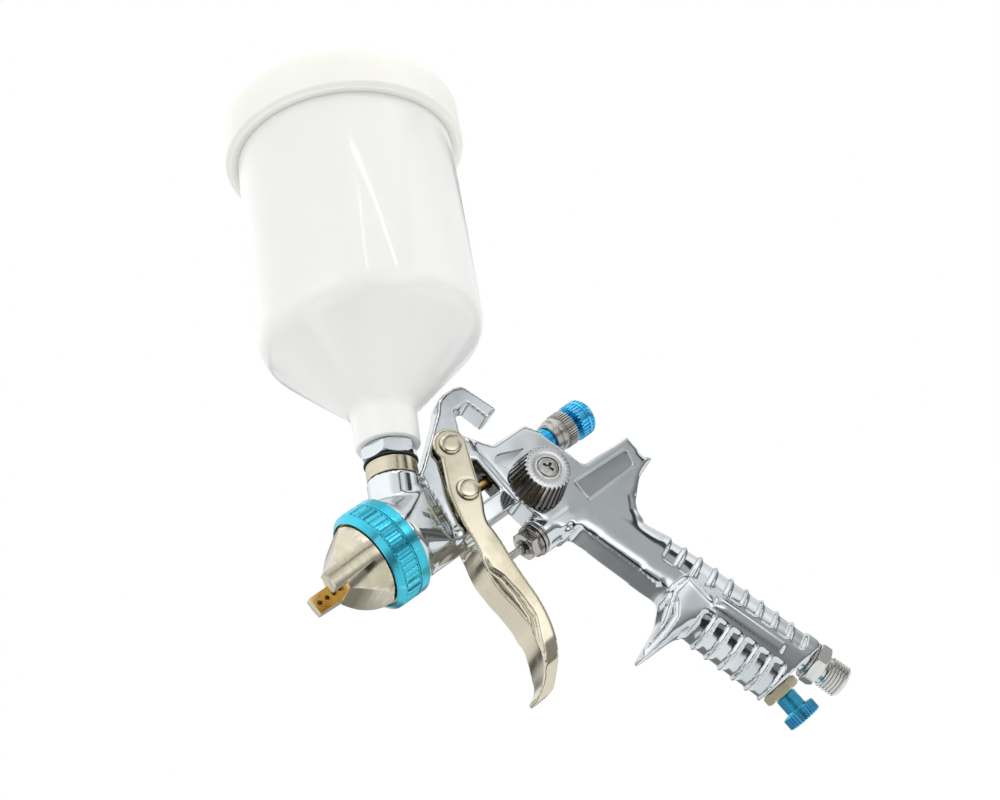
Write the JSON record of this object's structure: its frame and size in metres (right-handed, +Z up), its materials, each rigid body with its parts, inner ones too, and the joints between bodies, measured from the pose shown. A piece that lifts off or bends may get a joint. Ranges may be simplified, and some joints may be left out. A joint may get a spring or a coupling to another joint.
{
  "type": "gravity feed spray gun",
  "caption": "Gravity-feed paint spray gun with a leaning cup on top, horned air cap, trigger, control knobs, hanging hook and a grip with an air inlet at its foot.",
  "frame": {"origin": "middle of the seat of the hanging hook, where the gun hangs", "axes": "+Z up along the gun's height, +X along the spray axis towards the rear, +Y to the gun's right seen from behind"},
  "size_m": [0.1859, 0.1008, 0.3381],
  "materials": {
    "body_chrome": "bright chrome plate on a forged aluminium body",
    "nickel": "nickel plate on turned brass",
    "hex_chrome": "chrome plate on turned brass",
    "warm_nickel": "warm nickel plate on steel",
    "brass": "bare turned brass",
    "steel": "bright turned steel",
    "dark_steel": "dark plated steel",
    "turquoise": "turquoise anodised",
    "blue": "blue anodised",
    "cup_plastic": "milky translucent nylon",
    "lid_plastic": "milky translucent nylon",
    "rubber": "matt black",
    "seal_plastic": "white, smooth"
  },
  "bodies": {
    "gun": {"gun_body": "body_chrome", "fluid_nozzle": "brass", "air_baffle": "steel", "nozzle_gasket": "seal_plastic", "packing_seal": "seal_plastic", "packing_nut": "brass", "cup_collar": "nickel", "trigger_pivot_pin": "warm_nickel", "trigger_pivot_screw": "warm_nickel", "air_valve_nut": "dark_steel", "valve_washer": "steel", "valve_rod_seal": "seal_plastic", "air_valve_seat": "brass", "needle_spring": "steel", "air_valve_spring": "steel", "fan_bushing": "brass", "fan_o_ring": "rubber", "air_control_bushing": "nickel", "air_control_o_ring": "rubber", "inlet_washer": "steel", "air_inlet_nipple": "nickel"},
    "air_cap": {"air_cap": "nickel", "cap_snap_ring": "brass"},
    "air_cap_ring": {"air_cap_ring": "turquoise"},
    "trigger": {"trigger": "warm_nickel", "needle_pull_pin": "warm_nickel"},
    "needle": {"fluid_needle": "steel", "needle_collar": "brass"},
    "air_valve": {"air_valve_rod": "steel"},
    "fan_knob": {"fan_knob": "dark_steel", "fan_spindle": "steel", "fan_knob_screw": "steel"},
    "fluid_knob": {"fluid_knob": "blue"},
    "lock_nut": {"fluid_lock_nut": "nickel"},
    "air_control": {"air_control_knob": "blue"},
    "cup": {"cup": "cup_plastic", "cup_nut": "hex_chrome", "cup_filter": "seal_plastic", "cup_seal": "rubber"},
    "lid": {"lid": "lid_plastic", "lid_gasket": "rubber"},
    "vent_plug": {"lid_vent_plug": "seal_plastic"}
  },
  "joints": [
    {"name": "trigger_pull", "type": "hinge", "parent": "gun", "child": "trigger", "pos_m": [-0.0169, 0, -0.0112], "axis": [0, -1, 0], "range_deg": [0, 12], "stiffness_Nm_per_rad": 2, "springref_deg": -20.05},
    {"name": "needle_slide", "type": "slide", "parent": "gun", "child": "needle", "axis": [1, 0, 0], "range_m": [0, 0.0045], "deforming": ["needle_spring"]},
    {"name": "air_valve_slide", "type": "slide", "parent": "gun", "child": "air_valve", "axis": [1, 0, 0], "range_m": [0, 0.0112], "deforming": ["air_valve_spring"]},
    {"name": "air_cap_ring_turn", "type": "hinge", "parent": "gun", "child": "air_cap_ring", "pos_m": [-0.0609, 0, -0.0297], "axis": [-1, 0, 0], "range_deg": [0, 1080]},
    {"name": "air_cap_turn", "type": "hinge", "parent": "gun", "child": "air_cap", "pos_m": [-0.0609, 0, -0.0297], "axis": [1, 0, 0], "range_deg": [-90, 90]},
    {"name": "fan_knob_turn", "type": "hinge", "parent": "gun", "child": "fan_knob", "pos_m": [0.002, 0, -0.0428], "axis": [0, -1, 0], "range_deg": [0, 540]},
    {"name": "fluid_knob_turn", "type": "hinge", "parent": "gun", "child": "fluid_knob", "pos_m": [-0.0609, 0, -0.0297], "axis": [1, 0, 0], "range_deg": [0, 1080]},
    {"name": "lock_nut_turn", "type": "hinge", "parent": "gun", "child": "lock_nut", "pos_m": [-0.0609, 0, -0.0297], "axis": [1, 0, 0], "range_deg": [0, 360]},
    {"name": "air_control_turn", "type": "hinge", "parent": "gun", "child": "air_control", "pos_m": [0.0293, 0, -0.165], "axis": [0, 0, -1], "range_deg": [0, 720]},
    {"name": "cup_turn", "type": "hinge", "parent": "gun", "child": "cup", "pos_m": [-0.0546, 0, -0.0297], "axis": [0.5388, 0, 0.8425], "range_deg": [0, 720]},
    {"name": "lid_turn", "type": "hinge", "parent": "cup", "child": "lid", "pos_m": [-0.0546, 0, -0.0297], "axis": [0.5388, 0, 0.8425], "range_deg": [0, 360]},
    {"name": "vent_plug_lift", "type": "slide", "parent": "lid", "child": "vent_plug", "axis": [0.5388, 0, 0.8425], "range_m": [0, 0.003]}
  ],
  "couplings": [
    {"joint": "needle_slide", "follows": "trigger_pull", "m_per_rad": 0.0191},
    {"joint": "air_valve_slide", "follows": "trigger_pull", "m_per_rad": 0.0511}
  ]
}
